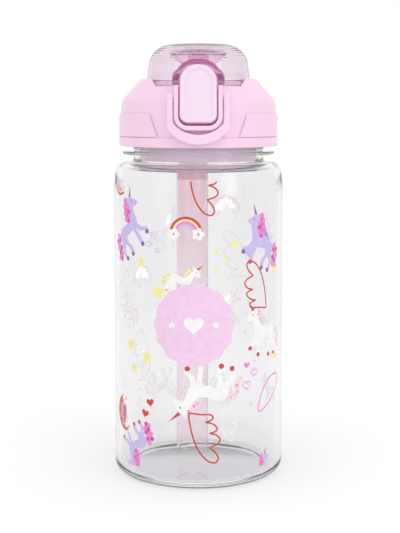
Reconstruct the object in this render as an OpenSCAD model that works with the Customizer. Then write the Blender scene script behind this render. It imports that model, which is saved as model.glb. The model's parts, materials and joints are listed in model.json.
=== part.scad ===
// Kids water bottle: clear body, screw lid with a flip-up dome over a straw spout.
// The front of the bottle faces -Y and the base rests on z = 0.

/* [Bottle] */
// Radius of the straight body wall
body_r = 37.5; // [36:0.5:39]
// Thickness of the body wall
body_wall = 2.2; // [1.8:0.1:2.6]
// Thickness of the floor
floor_t = 3; // [2:0.5:4]
// Height at which the shoulder begins to turn in
shoulder_z = 126; // [100:1:126]
// Outer radius of the neck
neck_r = 28.8; // [28.5:0.1:29]
// Inner radius of the neck
neck_bore_r = 27; // [26.8:0.1:27.2]
// Rise of the screw thread in one turn
thread_pitch = 4; // [3:0.5:5]

/* [Lid] */
// Radius of the lid's lower rim
lid_r = 35; // [34.8:0.1:35.2]
// Lean of the front panel, in degrees from upright
lean = 11; // [9:1:13]
// Half the width of the push button
button_half = 7.6; // [7:0.1:7.8]
// Travel of the push button
button_travel = 1.8; // [1:0.1:1.8]
// Radius of the dome at its foot
dome_r = 22.6; // [22.2:0.1:22.8]
// Wall thickness of the dome
dome_wall = 1.8; // [1.4:0.1:2]

/* [Straw] */
// Outer radius of the straw
straw_r = 7; // [6:0.1:7.2]
// Wall thickness of the straw
straw_wall = 0.9; // [0.7:0.1:1.1]
// Sideways offset of the straw from the bottle's axis
straw_x = -2.7; // [-3:0.1:-2]
// Height of the straw's foot over the resting face
straw_foot_z = 9.5; // [6:0.5:14]

/* [Hidden] */

$fn = 96;

// heights
neck_z = shoulder_z + 11.5;
flange_z = neck_z + 3.2;
flange_t = 1.2;
flange_r = 33.5;
bead_z = flange_z + 2.5;
rim_z = neck_z + 19.5;
lid_z = neck_z + 6.8;
pad_low = lid_z + 4.2;
pad_high = lid_z + 14.2;
cap_disc_z = rim_z + 1.5;
cap_disc_t = 2;
joint_z = lid_z + 25.8;
deck_z = joint_z - 0.1;
deck_t = 1.8;
ledge_z = lid_z + 29.2;
dome_foot_z = joint_z + 0.3;
dome_top_z = lid_z + 44.3;

// bottle
base_round = 4.5;
shoulder_round = 5.2;
inner_r = body_r - body_wall;
inner_round = base_round - body_wall;
bead_rise = 0.35;
bead_half = 0.5;
bead_flat = 0.2;

// screw thread
thread_turns = 1.5;
thread_steps = 54;
neck_root_r = neck_r - 0.2;
neck_crest_r = neck_root_r + 1.3;
cap_root_r = neck_crest_r + 1.1;
cap_crest_r = neck_crest_r + 0.35;

// lid shell
shell_r = lid_r - 0.6;
shell_bore = lid_r - 2.5;
well_r = dome_r + 0.5;
notch_half = 18.1;
crown_in = 6.2;
crown_z = lid_z + 17.2;
crown_round = 5.9;
crown_inner_round = 3.5;
ear_round = 2.6;
clear_r = 60;

// inner cap
tower_r = well_r - 0.2;
plug_r = neck_bore_r - 1.3;
plug_z = neck_z + 0.2;
ring_seal_z = plug_z + 9;
ring_seal_r = 0.5;
ring_seal_mid_r = plug_r + 0.4;
deck_bore_r = 6.2;
vent_x = 14;
vent_y = 8;
vent_r = 2;
spring_seat_r = 3.6;
spring_seat_t = 2.5;

// front panel: its own frame has x to the right, y up the panel and z outwards,
// with the origin on the lock ring's pivot line at the ring's back face
pivot_z = lid_z + 20.9;
panel_y = -(lid_r - 2.7);
ring_t = 3;
ring_half = 13.05;
ring_bore_half = 10.5;
ring_low = -20.3;
ring_bore_low = -16.1;
pin_r = 0.75;
pin_play = 0.07;
bezel_half = 10.1;
bezel_low = -14.4;
bezel_high = 5.4;
bezel_front = 3.6;
bezel_back = -4.2;
bezel_round = 6;
well_half = button_half + 0.6;
well_low = -12.4;
well_round = 3.9;
button_low = -11.2;
button_high = 13.15;
button_back = 2.1;
button_front = 4.2;
button_step = 0.6;
button_round_low = 3.3;
button_round_high = 7.1;
hood_half = 10.1;
hood_foot = -6;
hood_high = 15.6;
hood_front = 3.4;
hood_bore_high = 13.6;
hood_shoulder_half = 10.9;
hood_shoulder_high = 12.6;
hood_back = -12;
hood_round = 9.3;
hood_bore_round = 7.5;
hood_shoulder_round = 4;
hood_shoulder_front = -0.4;
catch_low = 6;
catch_high = 7.5;
catch_back = -1.6;
catch_front = -0.3;
arm_half = 3;
arm_back = -5;
arm_front = -3;
arm_high = 10;
spring_seat = -9;

// dome hinge
hinge_y = 25.8;
hinge_z = ledge_z - 0.3;
hinge_pin_r = 1;
knuckle_r = 2.4;
knuckle_in = 4.8;
knuckle_out = 8;
ear_in = 8.3;
ear_out = 11;

// straw and spout
sleeve_r = 5.4;
sleeve_bore_r = 3.4;
sleeve_cup_r = 8.4;
sleeve_cup_bore_r = 6.3;
straw_top_z = neck_z - 1.3;
spout_top_z = lid_z + 38.3;

pink = [0.96, 0.70, 0.85];
pale_pink = [0.97, 0.80, 0.90];
clear = [0.90, 0.92, 0.93, 0.45];
clear_pink = [0.92, 0.72, 0.82, 0.55];
silicone = [0.95, 0.93, 0.92];
steel = [0.72, 0.73, 0.75];

// Points along an arc, from angle a to angle b
function arc(cx, cy, r, a, b, n = 10) =
    [for (i = [0:n]) let (t = a + (b - a) * i / n) [cx + r * cos(t), cy + r * sin(t)]];

// Flat slab outline with its own corner radius at the bottom and at the top
module slab(half, low, high, round_low, round_high) {
    translate([-half, low + round_low]) square([2 * half, high - low - round_low - round_high]);
    translate([-half + round_low, low]) square([2 * (half - round_low), round_low + 0.01]);
    translate([-half + round_high, high - round_high - 0.01])
        square([2 * (half - round_high), round_high + 0.01]);
    for (side = [-1, 1]) {
        translate([side * (half - round_low), low + round_low]) circle(r = round_low);
        translate([side * (half - round_high), high - round_high]) circle(r = round_high);
    }
}

// Ring of revolution between two radii and two heights
module tube(r_out, r_in, low, high) {
    translate([0, 0, low]) difference() {
        cylinder(h = high - low, r = r_out);
        translate([0, 0, -1]) cylinder(h = high - low + 2, r = r_in);
    }
}

// Places its children in the front panel's frame
module on_panel() {
    translate([0, panel_y, pivot_z]) rotate([90 - lean, 0, 0]) children();
}

// Cylinder along X
module rod_x(r, from, to) {
    translate([from, 0, 0]) rotate([0, 90, 0]) cylinder(h = to - from, r = r);
}

// Square-section coil swept along Z: mean radius, wire size, length and number of turns
module coil(r, wire, length, turns) {
    steps = round(turns * 16);
    ring = function (i) let (a = 360 * turns * i / steps, z = length * i / steps)
        [for (c = [[-1, -1], [1, -1], [1, 1], [-1, 1]])
            [(r + c[0] * wire / 2) * cos(a), (r + c[0] * wire / 2) * sin(a), z + c[1] * wire / 2]];
    sweep([for (i = [0:steps]) ring(i)]);
}

// Closed skin over a list of four-cornered rings
module sweep(rings) {
    last = len(rings) - 1;
    points = [for (ring = rings) for (p = ring) p];
    sides = [for (i = [0:last - 1]) for (k = [0:3]) let (n = (k + 1) % 4)
        each [[4 * i + k, 4 * i + n, 4 * i + 4 + k], [4 * i + n, 4 * i + 4 + n, 4 * i + 4 + k]]];
    polyhedron(points, concat(sides, [[0, 2, 1], [0, 3, 2]],
        [[4 * last, 4 * last + 1, 4 * last + 2], [4 * last, 4 * last + 2, 4 * last + 3]]));
}

// Screw ridge on a wall of radius root, reaching radius crest; it fades in and out at its ends
module thread(root, crest, low) {
    half_base = 1.1;
    half_crest = 0.45;
    sink = crest > root ? -0.3 : 0.3;
    flip = crest > root ? 1 : -1;
    rings = [for (i = [0:thread_steps])
        let (a = 360 * thread_turns * i / thread_steps,
             z = low + thread_pitch * thread_turns * i / thread_steps,
             fade = min(1, i / 4 + 0.1, (thread_steps - i) / 4 + 0.1),
             tip = root + (crest - root) * fade)
        [for (c = [[root + sink, -half_base], [tip, -half_crest], [tip, half_crest],
                   [root + sink, half_base]])
            [c[0] * cos(a), c[0] * sin(a), z + flip * c[1]]]];
    sweep(rings);
}

// Clear bottle with a rounded base, a square shoulder, a transfer flange and a threaded neck
module bottle_body() {
    shoulder_x = body_r - shoulder_round - 0.4;
    shoulder_y = shoulder_z + 5.6;
    color(clear) {
        rotate_extrude() difference() {
            polygon(concat([[0, 0]],
                arc(body_r - base_round, base_round, base_round, -90, 0),
                [[body_r, shoulder_z]],
                arc(shoulder_x, shoulder_y, shoulder_round, 12, 90),
                [[neck_r, neck_z], [neck_r, flange_z], [flange_r, flange_z],
                 [flange_r, flange_z + flange_t], [neck_root_r, flange_z + flange_t],
                 [neck_root_r, bead_z - bead_half], [neck_root_r + bead_rise, bead_z - bead_flat],
                 [neck_root_r + bead_rise, bead_z + bead_flat], [neck_root_r, bead_z + bead_half],
                 [neck_root_r, rim_z], [0, rim_z]]));
            polygon(concat([[-1, floor_t]],
                arc(inner_r - inner_round, floor_t + inner_round, inner_round, -90, 0),
                [[inner_r, shoulder_z]],
                arc(shoulder_x, shoulder_y, shoulder_round - body_wall, 12, 80),
                [[neck_bore_r, neck_z - 1.6], [neck_bore_r, rim_z + 1], [-1, rim_z + 1]]));
        }
        thread(neck_root_r, neck_crest_r, flange_z + flange_t + 5);
    }
}

// Outer half-section of the lid shell
function shell_outline() = concat(
    [[0, lid_z], [lid_r, lid_z], [lid_r, pad_low - 0.3], [shell_r, pad_low],
     [shell_r, pad_high - 1]],
    arc(shell_r - crown_in, crown_z, crown_round, 8, 50),
    [[25.4, ledge_z], [0, ledge_z]]);

// Solid that the front notch of the shell and the dome's front flange share
module notch_prism(play) {
    low = joint_z + 0.25 - play;
    slope = (ledge_z - joint_z) * 0.75;
    translate([0, 0.01, 0]) rotate([90, 0, 0]) linear_extrude(45)
        polygon([[-notch_half + 0.3 - play, low], [notch_half - 0.3 + play, low],
                 [notch_half + slope - 0.3 + play, ledge_z + 0.5],
                 [-notch_half - slope + 0.3 - play, ledge_z + 0.5]]);
}

// Opaque outer shell of the lid with a well for the dome and ears for its hinge
module lid_shell() {
    color(pink) difference() {
        union() {
            rotate_extrude() polygon(shell_outline());
            for (side = [-1, 1]) intersection() {
                translate([0, hinge_y, hinge_z]) union() {
                    rod_x(ear_round, side > 0 ? ear_in : -ear_out, side > 0 ? ear_out : -ear_in);
                    translate([side > 0 ? ear_in : -ear_out, -ear_round, -4])
                        cube([ear_out - ear_in, 2 * ear_round, 4]);
                }
                translate([0, 0, lid_z]) cylinder(h = 60, r = 33);
            }
        }
        rotate_extrude() polygon(concat(
            [[0, lid_z - 1], [shell_bore, lid_z - 1], [shell_bore, cap_disc_z + cap_disc_t + 0.3]],
            arc(shell_r - crown_in, crown_z, crown_inner_round, 8, 50),
            [[well_r + 4, joint_z - 2.8], [well_r, joint_z - 2.8], [well_r, ledge_z + 1],
             [0, ledge_z + 1]]));
        notch_prism(0.3);
        on_panel() translate([0, 0, -12]) linear_extrude(20)
            slab(bezel_half + 0.05, bezel_low - 0.05, bezel_high + 3, bezel_round, 0.5);
        translate([0, hinge_y, hinge_z]) {
            rod_x(knuckle_r + 0.6, -ear_in, ear_in);
            translate([-ear_in, -5, -2]) cube([2 * ear_in, 5, 6]);
            rod_x(hinge_pin_r, -ear_out - 1, ear_out + 1);
        }
        translate([0, 0, joint_z]) cylinder(h = 20, r = well_r);
    }
}

// Pair of raised side grips set against the shell above its rim
module grip_pads() {
    inner = shell_r + 0.05;
    color(pink) intersection() {
        rotate_extrude() polygon([[inner, pad_low + 0.2], [lid_r, pad_low + 0.2],
            [lid_r + 0.05, pad_high - 1.6], [lid_r - 0.35, pad_high], [inner, pad_high - 0.2]]);
        for (side = [-1, 1]) translate([0, 40, 0]) rotate([90, 0, 0]) linear_extrude(80)
            polygon([[side * 17.2, pad_low], [side * 40, pad_low], [side * 40, pad_high + 1],
                     [side * 20.6, pad_high + 1], [side * 20, pad_high - 2]]);
    }
}

// Threaded inner cap: skirt, plug that reaches into the neck, tower and spout deck
module inner_cap() {
    color(pale_pink) {
        difference() {
            union() {
                tube(shell_bore, cap_root_r, lid_z + 0.8, cap_disc_z + 0.1);
                translate([0, 0, cap_disc_z]) cylinder(h = cap_disc_t, r = shell_bore);
                tube(plug_r, plug_r - 1.6, plug_z, cap_disc_z + 0.1);
                tube(tower_r, tower_r - 1.9, cap_disc_z + cap_disc_t - 0.1, deck_z);
                translate([0, 0, deck_z - deck_t]) cylinder(h = deck_t, r = tower_r);
                on_panel() translate([0, 0, spring_seat - spring_seat_t])
                    cylinder(h = spring_seat_t, r = spring_seat_r);
            }
            rotate_extrude() translate([ring_seal_mid_r, ring_seal_z]) circle(r = ring_seal_r + 0.05);
            translate([0, 0, deck_z - deck_t - 1]) cylinder(h = deck_t + 2, r = deck_bore_r);
            translate([straw_x, 0, cap_disc_z - 1]) cylinder(h = cap_disc_t + 2, r = sleeve_r + 0.1);
            translate([vent_x, vent_y, cap_disc_z - 1]) cylinder(h = cap_disc_t + 2, r = vent_r);
        }
        thread(cap_root_r, cap_crest_r, lid_z + 2.6);
    }
}

// Flat silicone gasket between the neck's rim and the inner cap
module neck_gasket() {
    color(silicone) tube(neck_root_r - 0.1, neck_bore_r + 0.1, rim_z, cap_disc_z);
}

// Silicone ring in the plug's groove that wipes the neck's bore
module plug_ring_seal() {
    color(silicone) rotate_extrude() translate([ring_seal_mid_r, ring_seal_z]) circle(r = ring_seal_r);
}

// Small silicone air valve through the inner cap
module vent_valve() {
    top_z = cap_disc_z + cap_disc_t;
    color(silicone) translate([vent_x, vent_y, 0]) difference() {
        union() {
            translate([0, 0, top_z]) cylinder(h = 0.9, r = 3);
            translate([0, 0, cap_disc_z - 0.01]) cylinder(h = cap_disc_t + 0.02, r = vent_r);
            translate([0, 0, cap_disc_z - 3.5]) cylinder(h = 3.5, r1 = 1.3, r2 = 2.4);
        }
        translate([0, 0, cap_disc_z - 2.5]) cylinder(h = 8, r = 0.9);
    }
}

// U-shaped frame round the lower half of the button; its cheeks carry the lock ring
module front_bezel() {
    color(pink) difference() {
        on_panel() difference() {
            translate([0, 0, bezel_back]) linear_extrude(bezel_front - bezel_back)
                slab(bezel_half, bezel_low, bezel_high, bezel_round, 0.2);
            translate([0, 0, -6]) linear_extrude(bezel_front + 8)
                slab(well_half, well_low, bezel_high + 6, well_round, 0.5);
            translate([0, 0, ring_t / 2]) rod_x(pin_r + pin_play, -20, 20);
        }
        cylinder(h = cap_disc_z + cap_disc_t + 0.4, r = shell_bore + 0.3);
        translate([0, 0, joint_z]) cylinder(h = 10, r = clear_r);
    }
}

// Push button that slides into the panel
module push_button() {
    color(pale_pink) on_panel() {
        translate([0, 0, button_back]) linear_extrude(button_front - button_back - button_step)
            slab(button_half, button_low, button_high, button_round_low, button_round_high);
        translate([0, 0, button_front - button_step - 0.1]) linear_extrude(button_step + 0.1)
            slab(button_half - button_step, button_low + button_step, button_high - button_step,
                 button_round_low - button_step, button_round_high - button_step);
    }
}

// Latch carried on the back of the button; its nose faces the catch bar inside the hood
module latch_hook() {
    bridge_low = -2;
    bridge_high = 4;
    color(silicone) on_panel() {
        translate([-arm_half, bridge_low, arm_back])
            cube([2 * arm_half, bridge_high - bridge_low, button_back - arm_back]);
        translate([-arm_half, bridge_low, arm_back])
            cube([2 * arm_half, arm_high - bridge_low, arm_front - arm_back]);
        translate([-arm_half, catch_high + 0.7, arm_front - 0.1])
            cube([2 * arm_half, arm_high - catch_high - 0.7, catch_back - arm_front - 0.2]);
    }
}

// Coil spring that pushes the button out
module button_spring() {
    wire = 0.55;
    length = arm_back - spring_seat - wire - 0.1;
    color(steel) on_panel() translate([0, 0, spring_seat + wire / 2 + 0.05])
        coil(2.3, wire, length, 4);
}

// U-shaped safety ring that hangs below its pivots and swings up over the hood
module lock_ring() {
    bottom_arc = 16;
    bore_arc = 13.5;
    color(pale_pink) on_panel() difference() {
        union() {
            linear_extrude(ring_t) difference() {
                intersection() {
                    translate([-ring_half, ring_low]) square([2 * ring_half, -ring_low]);
                    translate([0, ring_low + bottom_arc]) circle(r = bottom_arc);
                }
                intersection() {
                    translate([-ring_bore_half, ring_low]) square([2 * ring_bore_half, 30]);
                    union() {
                        translate([0, ring_bore_low + bore_arc]) circle(r = bore_arc);
                        translate([-20, ring_bore_low + bore_arc]) square([40, 20]);
                    }
                }
            }
            for (side = [-1, 1]) translate([0, 0, ring_t / 2])
                rod_x(ring_t / 2, side > 0 ? ring_bore_half : -ring_half,
                      side > 0 ? ring_half : -ring_bore_half);
        }
        translate([0, 0, ring_t / 2]) rod_x(pin_r, -ring_half + 0.4, ring_half - 0.4);
    }
}

// Pair of steel pivot pins pressed into the ring and turning in the bezel's cheeks
module lock_ring_pins() {
    color(steel) on_panel() for (side = [-1, 1]) translate([0, 0, ring_t / 2])
        rod_x(pin_r, side > 0 ? well_half + 0.4 : -ring_half + 0.4,
              side > 0 ? ring_half - 0.4 : -well_half - 0.4);
}

// Outer half-section of the dome, grown or shrunk by a wall thickness
function dome_outline(wall, foot) = concat(
    [[0, foot], [dome_r - wall, foot], [dome_r - wall, dome_foot_z + 4]],
    arc(dome_r - 10.1, dome_top_z - 9.5, 9.5 - wall, 4, 90),
    [[0, dome_top_z - wall]]);

// Translucent flip-up cover with a hood round the button and knuckles at the back
module dome_cover() {
    color(clear_pink) {
        difference() {
            union() {
                rotate_extrude() polygon(dome_outline(0, dome_foot_z));
                difference() {
                    union() {
                        dome_flange();
                        hood();
                    }
                    hood_bore();
                    translate([0, 0, -10]) cylinder(h = dome_foot_z + 10, r = clear_r);
                }
                for (side = [-1, 1]) translate([0, hinge_y, hinge_z]) {
                    start = side > 0 ? knuckle_in : -knuckle_out;
                    rod_x(knuckle_r, start, start + knuckle_out - knuckle_in);
                    translate([start, -5.5, -1.2]) cube([knuckle_out - knuckle_in, 5.5, 3.2]);
                }
            }
            rotate_extrude() polygon(dome_outline(dome_wall, dome_foot_z - 1));
            translate([0, hinge_y, hinge_z]) rod_x(hinge_pin_r + 0.05, -20, 20);
        }
        on_panel() translate([-well_half - 0.5, catch_low, catch_back])
            cube([2 * well_half + 1, catch_high - catch_low, catch_front - catch_back]);
    }
}

// Foot flange that fills the shell's front notch
module dome_flange() {
    intersection() {
        translate([0, 0, dome_foot_z]) cylinder(h = 1.8, r1 = 28.4, r2 = 26.5);
        notch_prism(0);
    }
}

// Solid arch in front of the dome, with lower shoulders behind the lock ring's path
module hood() {
    on_panel() {
        translate([0, 0, hood_back]) linear_extrude(hood_front - hood_back)
            slab(hood_half, hood_foot, hood_high, 1, hood_round);
        translate([0, 0, hood_back]) linear_extrude(hood_shoulder_front - hood_back)
            slab(hood_shoulder_half, hood_foot, hood_shoulder_high, 1, hood_shoulder_round);
    }
}

// Space inside the hood, in front of the dome's own wall
module hood_bore() {
    difference() {
        on_panel() translate([0, 0, hood_back - 1]) linear_extrude(30)
            slab(well_half, hood_foot - 2, hood_bore_high, 1, hood_bore_round);
        rotate_extrude() polygon(dome_outline(0, dome_foot_z - 5));
    }
}

// Soft stopper under the dome's roof: a flared cup round a tube that caps the spout
module spout_plug() {
    roof_z = dome_top_z - dome_wall;
    color(clear_pink) {
        rotate_extrude() polygon([[8.3, roof_z - 6.2], [12.7, roof_z - 2.4], [12.7, roof_z - 1.8],
            [9.8, roof_z], [8.6, roof_z], [11.4, roof_z - 1.9], [11.4, roof_z - 2.1],
            [7.2, roof_z - 5.7]]);
        tube(4.5, 3.3, roof_z - 5.8, roof_z);
        tube(9.2, 3.3, roof_z - 0.8, roof_z);
    }
}

// Steel pin through the ears and the knuckles
module hinge_pin() {
    color(steel) translate([0, hinge_y, hinge_z]) rod_x(hinge_pin_r, -ear_out + 0.2, ear_out - 0.2);
}

// Torsion spring round the pin, between the knuckles
module hinge_spring() {
    color(steel) translate([-3.8, hinge_y, hinge_z]) rotate([0, 90, 0]) coil(1.75, 0.55, 7.6, 6);
}

// Silicone mouthpiece that snaps into the deck
module spout() {
    color(clear_pink) rotate_extrude() polygon([[2, deck_z - 4.2], [4.1, deck_z - 4.2],
        [4.1, deck_z - 3.4], [8.4, deck_z - 3.2], [8.4, deck_z - deck_t], [6.1, deck_z - deck_t],
        [6.1, deck_z], [7.8, deck_z], [7.8, deck_z + 1], [6.2, deck_z + 2.2],
        [5, spout_top_z - 4], [4.2, spout_top_z - 1.9], [3, spout_top_z - 1.8],
        [2.5, spout_top_z - 0.3], [2.1, spout_top_z], [1.2, spout_top_z], [1.2, deck_z + 4],
        [2, deck_z + 3]]);
}

// Stepped sleeve that carries the straw below the inner cap, off the bottle's axis
module straw_sleeve() {
    cap_top = cap_disc_z + cap_disc_t;
    color(pink) difference() {
        union() {
            translate([straw_x, 0, straw_top_z - 5]) cylinder(h = 5, r = straw_r - straw_wall);
            translate([straw_x, 0, straw_top_z]) cylinder(h = 1.2, r = straw_r);
            translate([straw_x, 0, straw_top_z]) cylinder(h = cap_top - straw_top_z, r = sleeve_r);
            translate([0, 0, cap_top]) cylinder(h = deck_z - 3.3 - cap_top, r = sleeve_cup_r);
        }
        translate([straw_x, 0, straw_top_z - 6])
            cylinder(h = cap_top - straw_top_z + 7, r = sleeve_bore_r);
        translate([0, 0, cap_top + 0.8]) cylinder(h = 20, r = sleeve_cup_bore_r);
    }
}

// Wide clear straw with two notches at its foot
module straw() {
    color(clear_pink) translate([straw_x, 0, 0]) difference() {
        tube(straw_r, straw_r - straw_wall, straw_foot_z, straw_top_z);
        translate([0, 20, straw_foot_z]) rotate([90, 0, 0]) cylinder(h = 40, r = 2.2);
    }
}

bottle_body();
lid_shell();
grip_pads();
inner_cap();
neck_gasket();
plug_ring_seal();
vent_valve();
front_bezel();
push_button();
latch_hook();
button_spring();
lock_ring();
lock_ring_pins();
dome_cover();
spout_plug();
hinge_pin();
hinge_spring();
spout();
straw_sleeve();
straw();
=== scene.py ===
"""Kids water bottle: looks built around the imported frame. Lengths are in metres."""
import json
import math

import bmesh
import bpy
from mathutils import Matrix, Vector


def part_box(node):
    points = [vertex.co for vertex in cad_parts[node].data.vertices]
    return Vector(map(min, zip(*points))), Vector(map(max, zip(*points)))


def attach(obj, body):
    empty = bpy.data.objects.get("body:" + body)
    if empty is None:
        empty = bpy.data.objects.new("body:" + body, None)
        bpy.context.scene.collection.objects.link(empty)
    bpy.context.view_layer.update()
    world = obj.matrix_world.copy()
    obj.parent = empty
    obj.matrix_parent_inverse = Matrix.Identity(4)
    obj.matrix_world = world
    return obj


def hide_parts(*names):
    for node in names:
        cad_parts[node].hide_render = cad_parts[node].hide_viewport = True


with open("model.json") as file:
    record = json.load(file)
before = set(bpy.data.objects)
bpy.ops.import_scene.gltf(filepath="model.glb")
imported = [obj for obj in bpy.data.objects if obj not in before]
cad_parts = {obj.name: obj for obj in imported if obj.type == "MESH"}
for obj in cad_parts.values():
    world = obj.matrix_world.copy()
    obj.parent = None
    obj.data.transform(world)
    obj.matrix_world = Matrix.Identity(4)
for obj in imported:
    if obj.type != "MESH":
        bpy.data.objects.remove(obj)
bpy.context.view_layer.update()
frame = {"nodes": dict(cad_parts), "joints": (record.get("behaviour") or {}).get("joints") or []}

MM = 0.001
TURN = 2 * math.pi

# ---------------------------------------------------------------- places taken from the frame
nodes = frame["nodes"]
joints = {j["name"]: j for j in frame["joints"]}
BODY_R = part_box("bottle_body")[1].x
LID_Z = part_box("lid_shell")[0].z
DOME_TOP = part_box("dome_cover")[1].z
RING_PIVOT = Vector(joints["lock_ring_swing"]["pos_m"])
PRESS = Vector(joints["button_press"]["axis"])

FLOOR_R = 1.2
FLOOR_DROP = 0.25 * MM
FLOOR_SOLID_R = 0.12
FLOOR_CLEAR_R = 0.6
FLOOR_GLOW = 0.055
STRAW_TINT_LOW = 0.08
STRAW_TINT_HIGH = 0.125
SHARP = math.radians(38)


# ---------------------------------------------------------------- camera, floor and light
def make_camera():
    """Camera at eye height with the lid, looking slightly down at the front."""
    distance = 0.518
    height = 0.160
    tilt = math.radians(4)
    data = bpy.data.cameras.new("camera")
    data.lens = 78.8
    data.sensor_width = 36
    data.shift_y = -0.1406
    data.clip_start = 0.01
    camera = bpy.data.objects.new("camera", data)
    camera.location = (0.0007, -distance, height)
    camera.rotation_euler = (math.radians(90) - tilt, 0, 0)
    bpy.context.scene.collection.objects.link(camera)
    bpy.context.scene.camera = camera


def make_floor():
    """Round pale floor whose rim melts into the white surroundings."""
    mesh = bpy.data.meshes.new("floor")
    bm = bmesh.new()
    bmesh.ops.create_circle(bm, cap_ends=True, segments=96, radius=FLOOR_R)
    bmesh.ops.translate(bm, verts=bm.verts, vec=(0, 0, -FLOOR_DROP))
    bm.to_mesh(mesh)
    bm.free()
    floor = bpy.data.objects.new("floor", mesh)
    bpy.context.scene.collection.objects.link(floor)
    mesh.materials.append(pale_floor())


def area_light(name, place, target, size, power):
    """Rectangular soft light at place, turned to target."""
    data = bpy.data.lights.new(name, "AREA")
    data.shape = "RECTANGLE"
    data.size, data.size_y = size
    data.energy = power
    light = bpy.data.objects.new(name, data)
    light.location = place
    aim = Vector(target) - Vector(place)
    light.rotation_euler = aim.to_track_quat("-Z", "Y").to_euler()
    bpy.context.scene.collection.objects.link(light)


def make_light():
    """Even white surroundings, greyer far to the left and right, with weak soft lamps."""
    world = bpy.data.worlds.new("studio")
    world.use_nodes = True
    bpy.context.scene.world = world
    tree = world.node_tree
    background = tree.nodes["Background"]
    place = tree.nodes.new("ShaderNodeTexCoord")
    split = tree.nodes.new("ShaderNodeSeparateXYZ")
    sideways = tree.nodes.new("ShaderNodeMath")
    sideways.operation = "ABSOLUTE"
    grey = tree.nodes.new("ShaderNodeValToRGB")
    grey.color_ramp.interpolation = "EASE"
    grey.color_ramp.elements[0].position = 0.62
    grey.color_ramp.elements[0].color = (1, 1, 1, 1)
    grey.color_ramp.elements[1].position = 0.95
    grey.color_ramp.elements[1].color = (0.80, 0.80, 0.81, 1)
    tree.links.new(place.outputs["Generated"], split.inputs["Vector"])
    tree.links.new(split.outputs["X"], sideways.inputs[0])
    tree.links.new(sideways.outputs["Value"], grey.inputs["Fac"])
    tree.links.new(grey.outputs["Color"], background.inputs["Color"])
    background.inputs["Strength"].default_value = 1.0
    centre = (0, 0, 0.12)
    area_light("key_right", (0.9, -0.9, 0.5), centre, (0.4, 0.8), 1.6)
    area_light("fill_left", (-1.0, -0.8, 0.4), centre, (0.4, 0.8), 0.35)
    area_light("overhead", (0, -0.3, 1.1), centre, (0.7, 0.5), 0.8)


# ---------------------------------------------------------------- materials
class Recipe:
    """A material's node tree with short ways to add what most surfaces need."""

    def __init__(self, name):
        self.material = bpy.data.materials.new(name)
        self.material.use_nodes = True
        self.tree = self.material.node_tree
        self.shader = self.tree.nodes["Principled BSDF"]
        self.output = self.tree.nodes["Material Output"]

    def node(self, kind, **values):
        made = self.tree.nodes.new(kind)
        for key, value in values.items():
            setattr(made, key, value)
        return made

    def link(self, source, target):
        self.tree.links.new(source, target)

    def set(self, **values):
        """Sets the shader's plain inputs; an underscore stands for a space."""
        for key, value in values.items():
            self.shader.inputs[key.replace("_", " ")].default_value = value

    def noise(self, scale, detail=3.0, stretch=(1, 1, 1)):
        """Noise over the object's own space; scale is in features per metre."""
        place = self.node("ShaderNodeTexCoord")
        mapping = self.node("ShaderNodeMapping")
        mapping.inputs["Scale"].default_value = stretch
        texture = self.node("ShaderNodeTexNoise")
        texture.inputs["Scale"].default_value = scale
        texture.inputs["Detail"].default_value = detail
        self.link(place.outputs["Object"], mapping.inputs["Vector"])
        self.link(mapping.outputs["Vector"], texture.inputs["Vector"])
        return texture.outputs["Fac"]

    def ramp(self, factor, low, high, start=0.35, end=0.65):
        """Colour that runs from low to high as factor goes from start to end."""
        made = self.node("ShaderNodeValToRGB")
        made.color_ramp.elements[0].position = start
        made.color_ramp.elements[1].position = end
        made.color_ramp.elements[0].color = (*low, 1)
        made.color_ramp.elements[1].color = (*high, 1)
        self.link(factor, made.inputs["Fac"])
        return made.outputs["Color"]

    def vary(self, socket, factor, low, high):
        """Runs a plain number from low to high with factor."""
        made = self.node("ShaderNodeMapRange")
        made.inputs["From Min"].default_value = 0.3
        made.inputs["From Max"].default_value = 0.7
        made.inputs["To Min"].default_value = low
        made.inputs["To Max"].default_value = high
        self.link(factor, made.inputs["Value"])
        self.link(made.outputs["Result"], self.shader.inputs[socket])

    def bump(self, factor, height, strength=0.3):
        """Small relief, height in metres."""
        made = self.node("ShaderNodeBump")
        made.inputs["Strength"].default_value = strength
        made.inputs["Distance"].default_value = height
        self.link(factor, made.inputs["Height"])
        self.link(made.outputs["Normal"], self.shader.inputs["Normal"])

    def lamp_passes(self, tint):
        """Lets lamps and soft light shine through tinted, as they do through clear plastic."""
        path = self.node("ShaderNodeLightPath")
        clear = self.node("ShaderNodeBsdfTransparent")
        clear.inputs["Color"].default_value = (*tint, 1)
        shown = self.shader.outputs["BSDF"]
        for ray in ("Is Diffuse Ray", "Is Shadow Ray"):
            mix = self.node("ShaderNodeMixShader")
            self.link(path.outputs[ray], mix.inputs["Fac"])
            self.link(shown, mix.inputs[1])
            self.link(clear.outputs["BSDF"], mix.inputs[2])
            shown = mix.outputs["Shader"]
        self.link(shown, self.output.inputs["Surface"])

    def paint_edge_shade(self, base, colour, start=0.72):
        """Painted edge shade: colour that runs from base to the given deeper one where the surface
        turns from the eye.
        """
        weight = self.node("ShaderNodeLayerWeight")
        weight.inputs["Blend"].default_value = 0.5
        share = self.node("ShaderNodeMapRange")
        share.inputs["From Min"].default_value = start
        self.link(weight.outputs["Facing"], share.inputs["Value"])
        mix = self.node("ShaderNodeMixRGB")
        mix.inputs["Color2"].default_value = (*colour, 1)
        self.link(share.outputs["Result"], mix.inputs["Fac"])
        self.link(base, mix.inputs["Color1"])
        return mix.outputs["Color"]

    def absorb(self, colour, density):
        """Colours the inside of a clear solid by how far light travels in it."""
        made = self.node("ShaderNodeVolumeAbsorption")
        made.inputs["Color"].default_value = (*colour, 1)
        made.inputs["Density"].default_value = density
        self.link(made.outputs["Volume"], self.output.inputs["Volume"])


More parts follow.
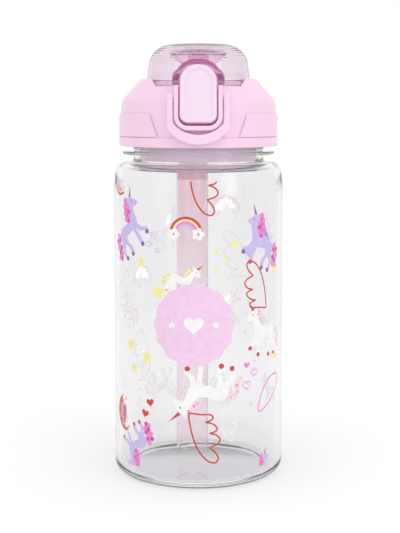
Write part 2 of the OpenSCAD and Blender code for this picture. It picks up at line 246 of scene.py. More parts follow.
def pale_floor():
    """White paper with a very weak glow, which turns clear towards its rim."""
    recipe = Recipe("pale_floor")
    recipe.link(recipe.ramp(recipe.noise(3), (0.93, 0.93, 0.93), (0.95, 0.95, 0.95)),
                recipe.shader.inputs["Base Color"])
    recipe.set(Roughness=0.9, Specular_IOR_Level=0.1, Emission_Color=(1, 1, 1, 1),
               Emission_Strength=FLOOR_GLOW)
    place = recipe.node("ShaderNodeTexCoord")
    distance = recipe.node("ShaderNodeVectorMath", operation="LENGTH")
    recipe.link(place.outputs["Object"], distance.inputs[0])
    fade = recipe.node("ShaderNodeMapRange", interpolation_type="SMOOTHSTEP")
    fade.inputs["From Min"].default_value = FLOOR_SOLID_R
    fade.inputs["From Max"].default_value = FLOOR_CLEAR_R
    recipe.link(distance.outputs["Value"], fade.inputs["Value"])
    clear = recipe.node("ShaderNodeBsdfTransparent")
    mix = recipe.node("ShaderNodeMixShader")
    recipe.link(fade.outputs["Result"], mix.inputs["Fac"])
    recipe.link(recipe.shader.outputs["BSDF"], mix.inputs[1])
    recipe.link(clear.outputs["BSDF"], mix.inputs[2])
    recipe.link(mix.outputs["Shader"], recipe.output.inputs["Surface"])
    return recipe.material


def clear_plastic(name, tint, ior=1.5, roughness=0.02, colour=None, density=0.0, edge=None):
    """Clear moulded plastic: faint flow marks, absorption along the way through it, and, where edge
    is given, painted edge shade where the surface turns from the eye.
    """
    recipe = Recipe(name)
    recipe.set(IOR=ior, Transmission_Weight=1.0)
    flow = recipe.noise(60, 2, (1, 1, 0.3))
    base = recipe.ramp(flow, tuple(0.985 * c for c in tint), tint)
    # Painted edge shade: a darker, deeper colour where the surface turns from the eye.
    if edge:
        base = recipe.paint_edge_shade(base, edge)
    recipe.link(base, recipe.shader.inputs["Base Color"])
    recipe.vary("Roughness", flow, roughness * 0.7, roughness * 1.3)
    recipe.lamp_passes(tuple(0.97 * c for c in tint))
    if density:
        recipe.absorb(colour, density)
    return recipe.material


def straw_plastic():
    """Clear straw whose tint deepens towards the sleeve that holds it."""
    recipe = Recipe("straw_clear")
    recipe.set(IOR=1.45, Transmission_Weight=1.0)
    place = recipe.node("ShaderNodeTexCoord")
    split = recipe.node("ShaderNodeSeparateXYZ")
    recipe.link(place.outputs["Object"], split.inputs["Vector"])
    height = recipe.node("ShaderNodeMapRange")
    height.inputs["From Min"].default_value = STRAW_TINT_LOW
    height.inputs["From Max"].default_value = STRAW_TINT_HIGH
    recipe.link(split.outputs["Z"], height.inputs["Value"])
    recipe.link(recipe.ramp(height.outputs["Result"], (0.99, 0.978, 0.984), (0.95, 0.85, 0.885),
                            0.0, 1.0), recipe.shader.inputs["Base Color"])
    recipe.vary("Roughness", recipe.noise(60, 2), 0.04, 0.08)
    recipe.lamp_passes((0.97, 0.92, 0.94))
    recipe.absorb((0.9, 0.1, 0.45), 75)
    return recipe.material


def moulded_plastic(name, colour, roughness=0.32, grain=0.00002):
    """Opaque moulded plastic with a fine satin grain and slight cloudiness."""
    recipe = Recipe(name)
    cloud = recipe.noise(45, 3)
    recipe.link(recipe.ramp(cloud, tuple(0.97 * c for c in colour), colour),
                recipe.shader.inputs["Base Color"])
    recipe.vary("Roughness", recipe.noise(900, 2), roughness * 0.85, roughness * 1.15)
    recipe.bump(recipe.noise(2600, 3), grain, 0.2)
    recipe.set(Specular_IOR_Level=0.45)
    return recipe.material


def soft_silicone(name, colour):
    recipe = Recipe(name)
    cloud = recipe.noise(80, 3)
    recipe.link(recipe.ramp(cloud, tuple(0.95 * c for c in colour), colour),
                recipe.shader.inputs["Base Color"])
    recipe.vary("Roughness", recipe.noise(700, 2), 0.38, 0.5)
    recipe.bump(recipe.noise(1800, 3), 0.00002, 0.3)
    recipe.set(Subsurface_Weight=0.2, Subsurface_Scale=0.003)
    return recipe.material


def drawn_steel():
    recipe = Recipe("drawn_steel")
    streak = recipe.noise(1500, 2, (0.15, 1, 1))
    recipe.link(recipe.ramp(streak, (0.55, 0.56, 0.58), (0.72, 0.73, 0.75)),
                recipe.shader.inputs["Base Color"])
    recipe.vary("Roughness", streak, 0.22, 0.36)
    recipe.set(Metallic=1.0)
    return recipe.material


def wear(material, *names):
    """Gives CAD nodes this material and smooth shading between their sharp edges."""
    for name in names:
        mesh = nodes[name].data
        mesh.materials.clear()
        mesh.materials.append(material)
        mesh.polygons.foreach_set("use_smooth", [True] * len(mesh.polygons))
        mesh.polygons.foreach_set("material_index", [0] * len(mesh.polygons))


def add_piece(name, bm, material, body, *replaced):
    """Turns bm into a smooth-shaded object that rides on body and stands for the replaced nodes."""
    bmesh.ops.recalc_face_normals(bm, faces=bm.faces)
    mesh = bpy.data.meshes.new(name)
    bm.to_mesh(mesh)
    bm.free()
    mesh.polygons.foreach_set("use_smooth", [True] * len(mesh.polygons))
    mesh.set_sharp_from_angle(angle=SHARP)
    for each in material if isinstance(material, (list, tuple)) else [material]:
        mesh.materials.append(each)
    piece = bpy.data.objects.new(name, mesh)
    bpy.context.scene.collection.objects.link(piece)
    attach(piece, body)
    if replaced:
        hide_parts(*replaced)
    return piece


def rounded(corners, steps=5):
    """Outline through corners (x, y, radius), each turned with an arc of its own radius."""
    line = []
    for i, (x, y, radius) in enumerate(corners):
        corner = Vector((x, y))
        if radius == 0:
            line.append(corner)
            continue
        before = (Vector(corners[i - 1][:2]) - corner).normalized()
        after = (Vector(corners[(i + 1) % len(corners)][:2]) - corner).normalized()
        half = before.angle(after) / 2
        centre = corner + (before + after).normalized() * radius / math.sin(half)
        start = corner + before * radius / math.tan(half) - centre
        end = corner + after * radius / math.tan(half) - centre
        sweep = start.angle(end)
        for k in range(steps + 1):
            share = k / steps
            line.append(centre + (start * math.sin((1 - share) * sweep)
                                  + end * math.sin(share * sweep)) / math.sin(sweep))
    return [(p[0], p[1]) for p in line]


def lathe(line, segments=192, relief=None):
    """Revolves an outline of (radius, height) points; ends on the axis close to one point."""
    bm = bmesh.new()
    rows = []
    for radius, height in line:
        if radius < 1e-7:
            rows.append([bm.verts.new((0, 0, height))])
            continue
        row = []
        for k in range(segments):
            a = TURN * k / segments
            r = radius + (relief(a, radius, height) if relief else 0)
            row.append(bm.verts.new((r * math.cos(a), r * math.sin(a), height)))
        rows.append(row)
    closed = len(rows[0]) > 1
    for i in range(len(rows) - (0 if closed else 1)):
        join_rows(bm, rows[i], rows[(i + 1) % len(rows)], True)
    return bm


def join_rows(bm, low, high, loop):
    """Faces between two rows of points; a row of one point makes a fan."""
    count = max(len(low), len(high))
    for k in range(count if loop else count - 1):
        n = (k + 1) % count
        if len(low) == 1:
            bm.faces.new((low[0], high[n], high[k]))
        elif len(high) == 1:
            bm.faces.new((low[k], low[n], high[0]))
        else:
            bm.faces.new((low[k], low[n], high[n], high[k]))


# The front panel's own frame: x to the right, u up the panel and w outwards, from the back
# face of the safety ring on its pivot line.
PANEL_OUT = -PRESS
PANEL_UP = PANEL_OUT.cross(Vector((1, 0, 0)))
RING_T = 3 * MM
PANEL_ORIGIN = RING_PIVOT - PANEL_OUT * RING_T / 2


def on_panel(x, u, w):
    """World place of a panel point given in millimetres."""
    return PANEL_ORIGIN + Vector((x, 0, 0)) * MM + PANEL_UP * u * MM + PANEL_OUT * w * MM


def slab_line(half, low, high, round_low, round_high, inset=0.0, steps=9):
    """Points round an upright slab with its own corner radius below and above, moved inwards."""
    line = []
    for side, level, radius, start in ((1, 1, round_high, 0), (-1, 1, round_high, 90),
                                       (-1, -1, round_low, 180), (1, -1, round_low, 270)):
        x = side * (half - radius)
        u = high - radius if level > 0 else low + radius
        for k in range(steps + 1):
            a = math.radians(start + 90 * k / steps)
            line.append((x + (radius - inset) * math.cos(a), u + (radius - inset) * math.sin(a)))
    return line


def slab_loft(bm, layers, *slab):
    """Closed solid through slab outlines, one for each (inset, w) layer."""
    rows = [[bm.verts.new(on_panel(x, u, w)) for x, u in slab_line(*slab, inset)]
            for inset, w in layers]
    for low, high in zip(rows, rows[1:]):
        join_rows(bm, low, high, True)
    bm.faces.new(rows[0])
    bm.faces.new(rows[-1])


def band_loft(bm, stations, edge, steps=3):
    """Closed bar between pairs of inner and outer points; each station also has its own w range."""
    rows = []
    for inner, outer, w_low, w_high in stations:
        span = Vector(outer) - Vector(inner)
        width = span.length
        e = min(edge, (w_high - w_low) * 0.45)
        line = []
        for cx, cw, start in ((width - e, w_high - e, 0), (e, w_high - e, 90),
                              (e, w_low + e, 180), (width - e, w_low + e, 270)):
            for k in range(steps + 1):
                a = math.radians(start + 90 * k / steps)
                line.append((cx + e * math.cos(a), cw + e * math.sin(a)))
        rows.append([bm.verts.new(on_panel(*(Vector(inner) + span * (c / width)), w))
                     for c, w in line])
    for low, high in zip(rows, rows[1:]):
        join_rows(bm, low, high, True)
    bm.faces.new(rows[0])
    bm.faces.new(rows[-1])


# ---------------------------------------------------------------- the pieces
PRINT_T = 0.06 * MM
PRINT_STEP = 0.011 * MM
PRINT_GAP = 0.002 * MM
PRINT_GLOW = 0.42
STRIP = 1.5
PRINT_LOW, PRINT_HIGH = 7.5, 130.5
SHOULDER_Z = 126 * MM
SHOULDER_TAPER = 0.0765
NECK_ROOT = 28.6
FLANGE_Z = 140.7 * MM
THREAD_PITCH = 4 * MM
THREAD_TURNS = 1.5
THREAD_START = 6.2 * MM
THREAD_RISE = 1.3 * MM
THREAD_FOOT = 1.1
THREAD_FLANK = 0.65
JOINT_Z = LID_Z + 25.8 * MM
CAP_TOP_Z = LID_Z + 16.6 * MM
SHELL_BORE = 32.8 * MM
DOME_WALL = 1.8
PLUG_GAP = 0.05


def wall_radius(height):
    """Outer radius of the body under the print, up to the shoulder's turn."""
    taper = max(0.0, height - SHOULDER_Z) * SHOULDER_TAPER
    return BODY_R - PRINT_T - taper


def thread_relief(angle, radius, height):
    """How far the screw thread stands out of the neck at this place."""
    start = FLANGE_Z + THREAD_START
    if abs(radius - NECK_ROOT * MM) > 0.01 * MM:
        return 0.0
    best = 0.0
    for turn in range(3):
        swept = angle / TURN + turn
        if not 0 <= swept <= THREAD_TURNS:
            continue
        fade = min(1.0, 0.1 + 9 * min(swept, THREAD_TURNS - swept))
        off = abs(height - start - THREAD_PITCH * swept) / MM
        best = max(best, fade * min(1.0, max(0.0, (THREAD_FOOT - off) / THREAD_FLANK)))
    return best * THREAD_RISE


def make_bottle():
    """Clear bottle: recessed foot, straight wall, square shoulder, flange, bead and thread."""
    neck, bore, flange, inside = NECK_ROOT, 27.0, 33.5, 35.25
    r = (BODY_R - PRINT_T) / MM
    floor, shoulder, rim = 3.0, 126, 157
    bead = neck + 0.35
    outer = rounded([(0, 0.7, 0), (28.2, 0.7, 0.6), (29.4, 0, 0.5), (r, 0, 4.4), (r, shoulder, 30),
                     (wall_radius(0.1368) / MM, 136.8, 5.1), (28.9, 137.45, 0.8), (28.8, 140.7, 0.3),
                     (flange, 140.7, 0.35), (flange, 141.9, 0.35), (neck, 141.9, 0.3),
                     (neck, 142.9, 0.1), (bead, 143.2, 0.1), (bead, 143.6, 0.1),
                     (neck, 143.9, 0.1), (neck, 144.1, 0)], 6)
    rise = [(neck, 144.2 + 0.3 * k) for k in range(40)]
    lip = rounded([(neck, rim - 0.6, 0), (neck, rim, 0.5), (bore, rim, 0.5), (bore, rim - 1, 0)], 4)
    inner = rounded([(bore, 136.2, 1.2), (33.2, 134.2, 2.6), (inside, shoulder, 20),
                     (inside, floor, 2.3), (0, floor + 0.25, 0)], 6)
    line = outer + rise + lip + inner
    bm = lathe([(x * MM, z * MM) for x, z in line], 192, thread_relief)
    add_piece("clear_bottle", bm, body_clear, "bottle", "bottle_body")


def make_button():
    """Push button: a skirt in the gap, coloured deep pink as painted shade, and a soft raised border
    round a flat field.
    """
    skirt_top = 2.7
    bm = bmesh.new()
    arc_edge = [(0.35 - 0.35 * math.cos(math.radians(a)), 3.75 + 0.35 * math.sin(math.radians(a)))
                for a in (0, 30, 60, 90)]
    layers = [(-0.2, 2.1), (-0.4, 2.2), (-0.4, 2.55), (-0.25, 2.65), (0, 2.66)] + arc_edge + [
        (0.9, 4.19), (1.65, 4.14), (1.9, 4.0), (2.15, 3.68), (2.4, 3.56), (2.8, 3.53), (3.1, 3.53)]
    half, low, high, round_low, round_high = 7.6, -11.2, 13.15, 3.3, 7.1
    slab_loft(bm, layers, half, low, high, round_low, round_high)
    for face in bm.faces:
        level = (face.calc_center_median() - PANEL_ORIGIN).dot(PANEL_OUT) / MM
        # Painted shade: faces below skirt_top, down in the gap, get the deep pink shade material.
        face.material_index = int(level < skirt_top)
    add_piece("button_cap", bm, [button_pink, painted_gap_shade], "button", "push_button")


def make_bezel():
    """U-shaped frame round the button, cut level with the dome's foot."""
    half, low, corner, wall, top = 10.1, -14.4, 6.0, 1.9, 9
    back, front, edge = -4.2, 3.6, 0.45
    half_way = [((-half + wall, u), (-half, u)) for u in (top, 2, -2, -6, low + corner)]
    for k in range(1, 13):
        a = math.radians(180 + 90 * k / 12)
        away = Vector((math.cos(a), math.sin(a)))
        centre = Vector((-half + corner, low + corner))
        half_way.append((tuple(centre + away * (corner - wall)), tuple(centre + away * corner)))
    pairs = half_way + [((-i[0], i[1]), (-o[0], o[1])) for i, o in reversed(half_way)]
    bm = bmesh.new()
    band_loft(bm, [(inner, outer, back, front) for inner, outer in pairs], edge)
    bmesh.ops.bisect_plane(bm, geom=bm.verts[:] + bm.edges[:] + bm.faces[:], dist=1e-7,
                           plane_co=(0, 0, JOINT_Z), plane_no=(0, 0, 1), clear_outer=True)
    bmesh.ops.holes_fill(bm, edges=[e for e in bm.edges if e.is_boundary])
    for v in bm.verts:
        r = math.hypot(v.co.x, v.co.y)
        if v.co.z < CAP_TOP_Z and r < SHELL_BORE:
            v.co.x, v.co.y = v.co.x * SHELL_BORE / r, v.co.y * SHELL_BORE / r
    # Painted shade: the bezel walls that face into the button's gap get the deep pink shade
    # material.
    paint_gap_shade(bm)
    add_piece("bezel_frame", bm, [pink_shell, painted_gap_shade], "lid", "front_bezel")


def paint_gap_shade(bm):
    """Painted shade: gives the walls that face each other across the button's gap the second
    material, a deep pink that stands for the shade in the gap.
    """
    bmesh.ops.recalc_face_normals(bm, faces=bm.faces)
    well_middle = on_panel(0, -3, 0)
    steepest_front = 0.3
    for face in bm.faces:
        inwards = face.normal.dot(well_middle - face.calc_center_median()) > 0
        face.material_index = int(inwards and face.normal.dot(PANEL_OUT) < steepest_front)


def make_plug():
    """Spout stopper: flared cup round a short tube, just clear of the dome's roof."""
    roof = DOME_TOP / MM - DOME_WALL
    line = rounded([(3.3, roof - PLUG_GAP, 0), (9.8, roof - PLUG_GAP, 0.2), (12.7, roof - 1.8, 0.2),
                    (12.7, roof - 2.4, 0.2), (8.3, roof - 6.2, 0.3), (7.2, roof - 5.7, 0.3),
                    (11.4, roof - 2.1, 0), (11.4, roof - 1.9, 0), (9.5, roof - 0.62, 0),
                    (9.2, roof - 0.8, 0), (4.5, roof - 0.8, 0.3), (4.5, roof - 5.8, 0.25),
                    (3.3, roof - 5.8, 0.25)], 4)
    bm = lathe([(x * MM, z * MM) for x, z in line], 96)
    add_piece("plug_cup", bm, plug_clear, "dome", "spout_plug")


def make_ring():
    """Safety ring: two legs with round ends and a deep curved crossbar."""
    outer_x, inner_x, thick = 13.05, 10.5, 3.0
    outer_arc, outer_low = 16.0, -20.3
    inner_arc, inner_low = 13.5, -16.1
    outer_turn = -math.degrees(math.asin((outer_x - 0.25) / outer_arc))
    inner_turn = -math.degrees(math.asin((inner_x - 0.1) / inner_arc))
    stations = []
    for a in (88, 70, 50, 30, 15, 0):
        u = thick / 2 * math.sin(math.radians(a)) * 0.99
        w = thick / 2 * math.cos(math.radians(a))
        stations.append(((-inner_x, u), (-outer_x, u), thick / 2 - w, thick / 2 + w))
    for share in (0.25, 0.5, 0.75, 0.93):
        stations.append(((-inner_x, -10.8 * share), (-outer_x, -13.0 * share), 0, thick))
    for k in range(0, 17):
        share = k / 16
        a, b = math.radians(outer_turn * (1 - share)), math.radians(inner_turn * (1 - share))
        outer = (outer_arc * math.sin(a), outer_low + outer_arc * (1 - math.cos(a)))
        inner = (inner_arc * math.sin(b), inner_low + inner_arc * (1 - math.cos(b)))
        stations.append((inner, outer, 0, thick))
    mirrored = [((-i[0], i[1]), (-o[0], o[1]), lo, hi) for i, o, lo, hi in reversed(stations[:-1])]
    bm = bmesh.new()
    band_loft(bm, stations + mirrored, 0.55)
    add_piece("safety_ring", bm, pale_pink, "ring", "lock_ring")


# ---------------------------------------------------------------- the print
def ink(name, colour):
    """Printed ink: slightly uneven, satin."""
    recipe = Recipe(name)
    patchy = recipe.noise(420, 4)
    recipe.link(recipe.ramp(patchy, tuple(0.93 * c for c in colour), colour),
                recipe.shader.inputs["Base Color"])
    recipe.vary("Roughness", recipe.noise(1500, 2), 0.3, 0.45)
    recipe.bump(patchy, 0.00001, 0.2)
    return recipe.material


def paint_backing_glow(material):
    """Painted light: a weak glow that stands for the daylight which reaches the print's back through
    the ink.
    """
    shader = material.node_tree.nodes["Principled BSDF"]
    shader.inputs["Emission Color"].default_value = (1, 0.99, 0.985, 1)
    shader.inputs["Emission Strength"].default_value = PRINT_GLOW


def smooth(points, steps=4, closed=True):
    """Catmull-Rom curve through points."""
    line = []
    n = len(points)
    for i in range(n if closed else n - 1):
        pick = [points[(i + k) % n] if closed else points[min(max(i + k, 0), n - 1)]
                for k in (-1, 0, 1, 2)]
        for s in range(steps):
            t = s / steps
            line.append(tuple(0.5 * (2 * b + (c - a) * t + (2 * a - 5 * b + 4 * c - d) * t * t
                                     + (3 * b - a - 3 * c + d) * t ** 3)
                              for a, b, c, d in zip(*pick)))
    if not closed:
        line.append(points[-1])
    return line


def blob(x, y, r, lobes=0, depth=0.0, points=20):
    """Round or scalloped outline."""
    return [(x + r * (1 + depth * math.cos(lobes * a)) * math.cos(a),
             y + r * (1 + depth * math.cos(lobes * a)) * math.sin(a))
            for a in (TURN * k / points for k in range(points))]


def heart(x, y, size):
    """Heart outline about size wide."""
    return [(x + size / 32 * 16 * math.sin(a) ** 3,
             y + size / 32 * (13 * math.cos(a) - 5 * math.cos(2 * a) - 2 * math.cos(3 * a)
                              - math.cos(4 * a)))
            for a in (TURN * k / 32 for k in range(32))]


def star(x, y, r, points=4, waist=0.38):
    return [(x + (r if k % 2 == 0 else r * waist) * math.sin(math.pi * k / points),
             y + (r if k % 2 == 0 else r * waist) * math.cos(math.pi * k / points))
            for k in range(2 * points)]


def arch(r_in, r_out, start=0, end=180, steps=24):
    """Half ring, as a closed outline."""
    turn = [math.radians(start + (end - start) * k / steps) for k in range(steps + 1)]
    return ([(r_out * math.cos(a), r_out * math.sin(a)) for a in turn]
            + [(r_in * math.cos(a), r_in * math.sin(a)) for a in reversed(turn)])


def stroke(line, width):
    """Outer and inner loop of a closed drawn line."""
    left, right = [], []
    for i, point in enumerate(line):
        along = (Vector(line[(i + 1) % len(line)]) - Vector(line[i - 1])).normalized()
        side = Vector((-along.y, along.x)) * width / 2
        left.append(tuple(Vector(point) + side))
        right.append(tuple(Vector(point) - side))
    return left, right


# Drawn in a box about 20 mm wide and high, facing right.
PONY = [(17.6, 14.0), (17.9, 13.1), (16.6, 12.6), (15.2, 12.9), (14.4, 11.4), (14.3, 9.4),
        (13.6, 7.8), (14.6, 5.6), (16.2, 4.4), (15.9, 2.6), (14.8, 2.7), (14.7, 3.9), (13.0, 4.9),
        (12.0, 6.9), (12.2, 4.0), (12.0, 0.6), (10.8, 0.6), (10.7, 4.0), (10.2, 7.0), (8.2, 6.9),
        (6.4, 7.2), (6.0, 5.0), (6.9, 3.2), (6.3, 0.5), (5.1, 0.5), (5.3, 3.2), (4.1, 5.2),
        (2.6, 3.4), (2.9, 0.9), (1.7, 0.8), (1.2, 3.6), (2.2, 6.2), (2.2, 8.6), (3.2, 10.4),
        (5.2, 11.0), (8.2, 10.4), (10.6, 10.9), (12.0, 12.6), (12.9, 15.0), (13.3, 16.6),
        (13.5, 17.8), (14.4, 16.7), (15.4, 16.4), (16.6, 15.3)]
HORN = [(14.9, 16.7), (15.9, 16.2), (18.2, 19.8)]
MANE = [(13.6, 17.3), (12.5, 17.2), (11.9, 16.2), (11.2, 15.8), (10.9, 14.6), (10.1, 13.9),
        (10.2, 12.6), (9.4, 11.8), (10.2, 11.0), (11.4, 11.8), (12.1, 12.9), (12.7, 14.4),
        (13.2, 15.9)]
TAIL = [(2.8, 9.9), (1.2, 10.6), (-0.6, 9.6), (-1.4, 7.6), (-0.9, 5.6), (-2.0, 4.2), (-0.9, 3.2),
        (0.4, 4.4), (0.9, 6.2), (0.3, 7.8), (1.2, 8.6), (2.4, 8.6)]
HOOVES = [(11.4, 0.9), (5.7, 0.8), (2.3, 1.1), (15.4, 3.1)]
# A wing's outline: smooth curves that meet in the sharp notches between its feathers.
WING = [[(11.4, 0.2), (11.1, 5.0), (10.2, 10.2), (8.5, 15.0), (5.8, 18.7), (2.9, 20.0), (1.4, 18.6),
         (2.2, 16.3), (4.4, 14.0)],
        [(4.4, 14.0), (1.6, 13.1), (0.2, 11.4), (1.5, 9.5), (4.1, 8.6)],
        [(4.1, 8.6), (1.8, 8.1), (1.0, 6.9), (2.6, 5.1), (5.4, 4.2)],
        [(5.4, 4.2), (3.2, 3.7), (2.3, 2.6), (3.4, 1.5), (7.2, 1.1), (11.4, 0.2)]]


class Print:
    """Collects printed marks, drawn flat in millimetres and rolled on to the body's wall."""

    def __init__(self):
        self.marks = []

    def put(self, colour, level, loops, at, scale=1.0, turn=0, flip=False, middle=(10, 10)):
        """Adds loops round at = (degrees to the right of the front, height)."""
        c, s = math.cos(math.radians(turn)), math.sin(math.radians(turn))
        placed = []
        for loop in loops:
            line = []
            for x, y in loop:
                x, y = (x - middle[0]) * scale * (-1 if flip else 1), (y - middle[1]) * scale
                line.append((math.radians(at[0]) * BODY_R / MM + c * x - s * y,
                             at[1] + s * x + c * y))
            placed.append(line)
        self.marks.append((colour, level, placed))

    def pony(self, at, coat, hair, hoof, scale=1.0, turn=0, flip=False, speckled=False,
             curly=False):
        place = {"at": at, "scale": scale, "turn": turn, "flip": flip}
        self.put(hair, 1, [smooth(TAIL)], **place)
        self.put(coat, 2, [smooth(PONY)], **place)
        self.put(hair, 3, [smooth(MANE)], **place)
        self.put(hoof, 1, [HORN], **place)
        for x, y in HOOVES:
            self.put(hoof, 3, [blob(x, y, 0.8)], **place)
        self.put("plum", 3, [blob(15.5, 14.8, 0.3, points=8)], **place)
        if curly:
            for i, (x, y) in enumerate(TAIL[1:-1] + MANE[1:-1]):
                self.put(("rose", "magenta")[i % 2], 4 - i % 2, [blob(x, y, 0.95, 5, 0.12)],
                         **place)
        if speckled:
            for i, (x, y) in enumerate([(12.4, 16.3), (11.7, 14.6), (10.8, 12.6), (11.6, 13.5),
                                        (0.2, 9.4), (-0.6, 7.6), (-0.1, 5.8), (-1.0, 4.4),
                                        (1.3, 9.5), (12.9, 15.2)]):
                self.put(("rose", "yellow", "lilac")[i % 3], 4, [blob(x, y, 0.42, points=8)],
                         **place)

    def wing(self, at, colour="red", width=0.62, **place):
        line = [point for curve in WING for point in smooth(curve, closed=False)[:-1]]
        self.put(colour, 4, stroke(line, width), at, middle=(6, 10), **place)

    def rainbow(self, at, scale=1.0, turn=0):
        for low, high, colour in ((2.9, 4.0, "lilac"), (4.0, 5.0, "rose"), (5.0, 5.9, "yellow"),
                                  (5.9, 7.0, "red")):
            self.put(colour, 1, [arch(low, high)], at, scale, turn, middle=(0, 2.5))
        for side in (-5.2, 5.2):
            self.put("white", 2, [blob(side, -0.4, 2.4, 5, 0.16, 40)], at, scale, turn,
                     middle=(0, 2.5))
            self.put("rose", 3, [blob(side, -0.4, 0.6, points=10)], at, scale, turn,
                     middle=(0, 2.5))
            for lobe in (0.8, 2.1, 3.4, 4.6):
                self.put("yellow", 3, [blob(side + 1.3 * math.cos(lobe), -0.4
                                            + 1.3 * math.sin(lobe), 0.25, points=8)],
                         at, scale, turn, middle=(0, 2.5))

    def heart(self, at, size, colour, outline=0.0, turn=0):
        shape = heart(0, 0, size)
        self.put(colour, 4, stroke(shape, outline) if outline else [shape], at, turn=turn,
                 middle=(0, 0))

    def dot(self, at, r, colour, star_shaped=False):
        shape = star(0, 0, r, 5, 0.5) if star_shaped else blob(0, 0, r, points=10)
        self.put(colour, 4, [shape], at, middle=(0, 0))

    def make(self, name):
        """One thin skin that rides on the bottle: ink outside, white backing inside."""
        colours = ["backing"] + sorted({mark[0] for mark in self.marks})
        bm = bmesh.new()
        for colour, level, loops in self.marks:
            flat = flat_mark(loops)
            if not flat.faces:
                continue
            top = bmesh.ops.extrude_face_region(flat, geom=flat.faces[:], use_keep_orig=True)
            raised = {v for v in top["geom"] if isinstance(v, bmesh.types.BMVert)}
            rolled = {}
            for v in flat.verts:
                z = v.co.y * MM
                r = wall_radius(z) + (PRINT_STEP * level if v in raised else PRINT_GAP)
                a = v.co.x * MM / BODY_R
                rolled[v] = bm.verts.new((r * math.sin(a), -r * math.cos(a), z))
            for face in flat.faces:
                made = bm.faces.new([rolled[v] for v in face.verts])
                outside = all(v in raised for v in face.verts)
                made.material_index = colours.index(colour) if outside else 0
            flat.free()
        add_piece(name, bm, [inks[c] for c in colours], "bottle")


def flat_mark(loops):
    """Filled outline, or the band between two loops, cut into narrow upright strips."""
    flat = bmesh.new()
    rows = [[flat.verts.new((x, y, 0)) for x, y in loop] for loop in loops]
    if len(rows) == 1:
        bmesh.ops.triangulate(flat, faces=[flat.faces.new(rows[0])])
    else:
        join_rows(flat, rows[0], rows[1], True)
    for level, way in ((PRINT_LOW, -1), (PRINT_HIGH, 1)):
        bmesh.ops.bisect_plane(flat, geom=flat.verts[:] + flat.edges[:] + flat.faces[:], dist=1e-5,
                               plane_co=(0, level, 0), plane_no=(0, way, 0), clear_outer=True)
    if not flat.verts:
        return flat
    low = min(v.co.x for v in flat.verts)
    high = max(v.co.x for v in flat.verts)
    for k in range(math.ceil(low / STRIP), math.floor(high / STRIP) + 1):
        bmesh.ops.bisect_plane(flat, geom=flat.verts[:] + flat.edges[:] + flat.faces[:],
                               dist=1e-5, plane_co=(k * STRIP, 0, 0), plane_no=(1, 0, 0))
    return flat


def print_front():
    """Motifs on the front half."""
    badge = Print()
    badge.put("badge", 4, [blob(0, 0, 17.2, 14, 0.022, 168)], (-3, 70.4), middle=(0, 0))
    badge.put("white", 5, [heart(0, 0.3, 8.5)], (-3, 70.4), middle=(0, 0))
    for side in (-9.3, 9.3):
        badge.put("white", 5, [star(side, 0, 1.9, 5, 0.45)], (-3, 70.4), middle=(0, 0))
    badge.make("print_badge")

    ponies = Print()
    ponies.pony((-52, 112), "lilac", "rose", "plum", 1.3, 38, curly=True)
    ponies.pony((45, 106), "lilac", "rose", "plum", 1.25, -24, True, curly=True)
    ponies.pony((47, 67), "white", "blush", "red", 1.2, -6, True, True)
    ponies.pony((2, 41), "white", "blush", "red", 1.45, 170, False, True)
    ponies.pony((-9, 90), "white", "yellow", "red", 0.8, -15, speckled=True)
    ponies.pony((-46, 15), "lilac", "rose", "red", 1.05, -150, curly=True)
    ponies.pony((46, 6), "lilac", "rose", "red", 0.8, 20, curly=True)
    ponies.make("print_ponies")

    wings = Print()
    wings.wing((41, 86), scale=1.08, turn=2)
    wings.wing((4, 23), scale=1.12, turn=184)
    wings.wing((3, 127.5), scale=1.1, turn=178)
    wings.wing((24, 126), "blush", 0.35, scale=0.8, turn=172)
    wings.wing((-36, 42), "blush", 0.4, scale=0.95, turn=-12)
    wings.wing((-56, 78), "blush", 0.35, scale=0.9, turn=20)
    wings.wing((20, 28), "white", 0.35, scale=0.7, turn=170)
    wings.wing((58, 122), "blush", 0.35, scale=0.9, turn=150)
    wings.put("rose", 4, stroke(smooth([(0, 0), (5, 2.2), (9.5, 7), (8.8, 9.6), (4, 8.6), (0.6, 4)]),
                                0.45), (55, 39), 1.5, middle=(5, 5))
    wings.make("print_wings")

    rainbows = Print()
    rainbows.rainbow((-8, 111.5))
    rainbows.rainbow((-60, 29), 1.15, 100)
    rainbows.rainbow((-66, 128), 0.9, 140)
    rainbows.make("print_rainbows")

    small = Print()
    for at, size, turn in (((-30, 108), 3.4, 12), ((-34, 104), 2.6, -10), ((-27, 101.5), 2.6, 8)):
        small.heart(at, size, "lilac", 0.28, turn)
    for at, size in (((39, 49), 3.4), ((33, 44), 4.0)):
        small.heart(at, size, "rose", 0.4)
    small.heart((33, 52.5), 3.0, "rose")
    small.heart((-33, 36.5), 3.8, "red", turn=10)
    small.heart((-37, 31.5), 3.8, "red", turn=-12)
    for at, r in (((12, 101), 0.9), ((18, 98), 1.1), ((12, 93), 0.9), ((16, 89), 0.7),
                  ((-37, 54), 1.4), ((-25, 62), 0.6), ((20, 60), 0.6), ((-21, 84), 1.0)):
        small.dot(at, r, "yellow")
    for at, r in (((-27, 84), 3.6), ((-50, 60), 3.2), ((-47, 50), 2.6), ((-35, 56), 3.0),
                  ((24, 104), 2.4), ((60, 92), 2.8), ((-40, 96), 3.0), ((62, 54), 2.6)):
        small.dot(at, r, "yellow", True)
    small.make("print_hearts")


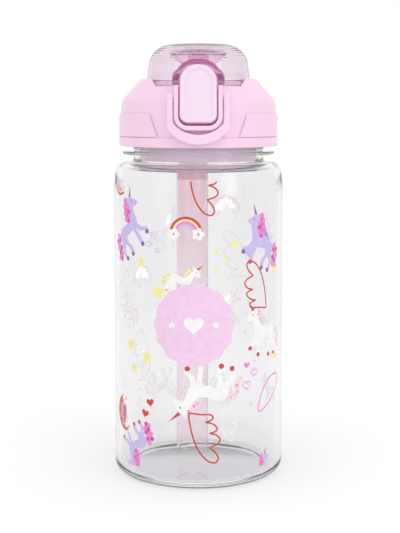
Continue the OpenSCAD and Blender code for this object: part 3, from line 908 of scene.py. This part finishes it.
def print_back():
    """Motifs on the rear half, which show faintly through the bottle."""
    ponies = Print()
    ponies.pony((112, 104), "lilac", "rose", "plum", 1.0, 10)
    ponies.pony((158, 66), "white", "blush", "red", 1.05, -8, True, True)
    ponies.pony((204, 104), "lilac", "rose", "plum", 1.0, -12, True)
    ponies.pony((248, 70), "white", "blush", "red", 1.0, 14, False, True)
    ponies.pony((112, 32), "lilac", "rose", "plum", 0.95, -14)
    ponies.pony((206, 28), "white", "blush", "red", 1.0, 160, False, True)
    ponies.make("print_ponies_rear")
    wings = Print()
    wings.wing((100, 70), scale=1.2, turn=20)
    wings.wing((150, 92), scale=1.2, turn=-12, flip=True)
    wings.wing((228, 46), scale=1.1, turn=150)
    wings.wing((252, 94), scale=1.2, turn=6)
    wings.make("print_wings_rear")
    rainbows = Print()
    rainbows.rainbow((160, 116), 1.1, -10)
    rainbows.rainbow((160, 26), 1.0, 60)
    rainbows.rainbow((228, 84), 0.9, 8)
    rainbows.make("print_rainbows_rear")
    small = Print()
    for k in range(9):
        small.heart((98 + 19 * k, 50 + 33 * math.sin(2.1 * k)), 3.0, ("rose", "red")[k % 2],
                    0.28 * (k % 3 == 0), 12 - 8 * (k % 4))
        small.dot((104 + 19 * k, 74 + 42 * math.sin(1.3 * k + 1)), 1.7, "yellow", True)
        small.dot((94 + 19 * k, 64 + 46 * math.sin(1.9 * k + 2)), 0.7, "yellow")
    small.make("print_hearts_rear")


PINK = (0.915, 0.64, 0.81)
PALE = (0.89, 0.65, 0.83)
body_clear = clear_plastic("body_clear", (0.931, 0.929, 0.937), 1.42, 0.015)
pink_shell = moulded_plastic("pink_shell", PINK)
pale_pink = moulded_plastic("pale_pink", PALE, 0.28)
button_pink = moulded_plastic("button_pink", (0.87, 0.70, 0.83), 0.3)
# Deep pink painted shade for the walls down in the gap round the button.
painted_gap_shade = moulded_plastic("painted_gap_shade", (0.80, 0.30, 0.58), 0.35)
# The last colour of dome_clear and plug_clear is painted edge shade, darker and deeper where the
# surface turns from the eye.
dome_clear = clear_plastic("dome_clear", (0.99, 0.97, 0.98), 1.42, 0.03, (0.56, 0.2, 0.49), 75,
                           (0.72, 0.36, 0.54))
plug_clear = clear_plastic("plug_clear", (0.99, 0.95, 0.97), 1.25, 0.04, (0.70, 0.05, 0.45), 60,
                           (0.55, 0.10, 0.33))
straw_clear = straw_plastic()
deep_pink = moulded_plastic("deep_pink", (0.97, 0.77, 0.87), 0.35)
spout_soft = soft_silicone("spout_soft", (0.86, 0.42, 0.66))
white_silicone = soft_silicone("white_silicone", (0.9, 0.88, 0.87))
steel = drawn_steel()
inks = {name: ink("ink_" + name, colour) for name, colour in {
    "backing": (0.88, 0.88, 0.87), "white": (0.90, 0.90, 0.88), "badge": (0.87, 0.60, 0.82),
    "lilac": (0.60, 0.50, 0.82), "rose": (0.84, 0.24, 0.60), "magenta": (0.62, 0.07, 0.36),
    "blush": (0.88, 0.66, 0.74), "red": (0.60, 0.055, 0.045), "yellow": (0.88, 0.84, 0.34),
    "plum": (0.30, 0.14, 0.34)}.items()}
# Painted light: the print's white backing glows weakly, standing for the daylight that reaches it.
paint_backing_glow(inks["backing"])

bpy.context.scene.view_settings.view_transform = "Standard"
make_camera()
make_floor()
make_light()

wear(body_clear, "bottle_body")
wear(pink_shell, "lid_shell", "grip_pads", "front_bezel")
wear(deep_pink, "inner_cap", "straw_sleeve")
wear(pale_pink, "push_button", "lock_ring", "latch_hook")
wear(dome_clear, "dome_cover")
wear(plug_clear, "spout_plug")
wear(straw_clear, "straw")
wear(spout_soft, "spout")
wear(white_silicone, "neck_gasket", "plug_ring_seal", "vent_valve")
wear(steel, "button_spring", "lock_ring_pins", "hinge_pin", "hinge_spring")

make_bottle()
make_button()
make_bezel()
make_plug()
make_ring()
print_front()
print_back()
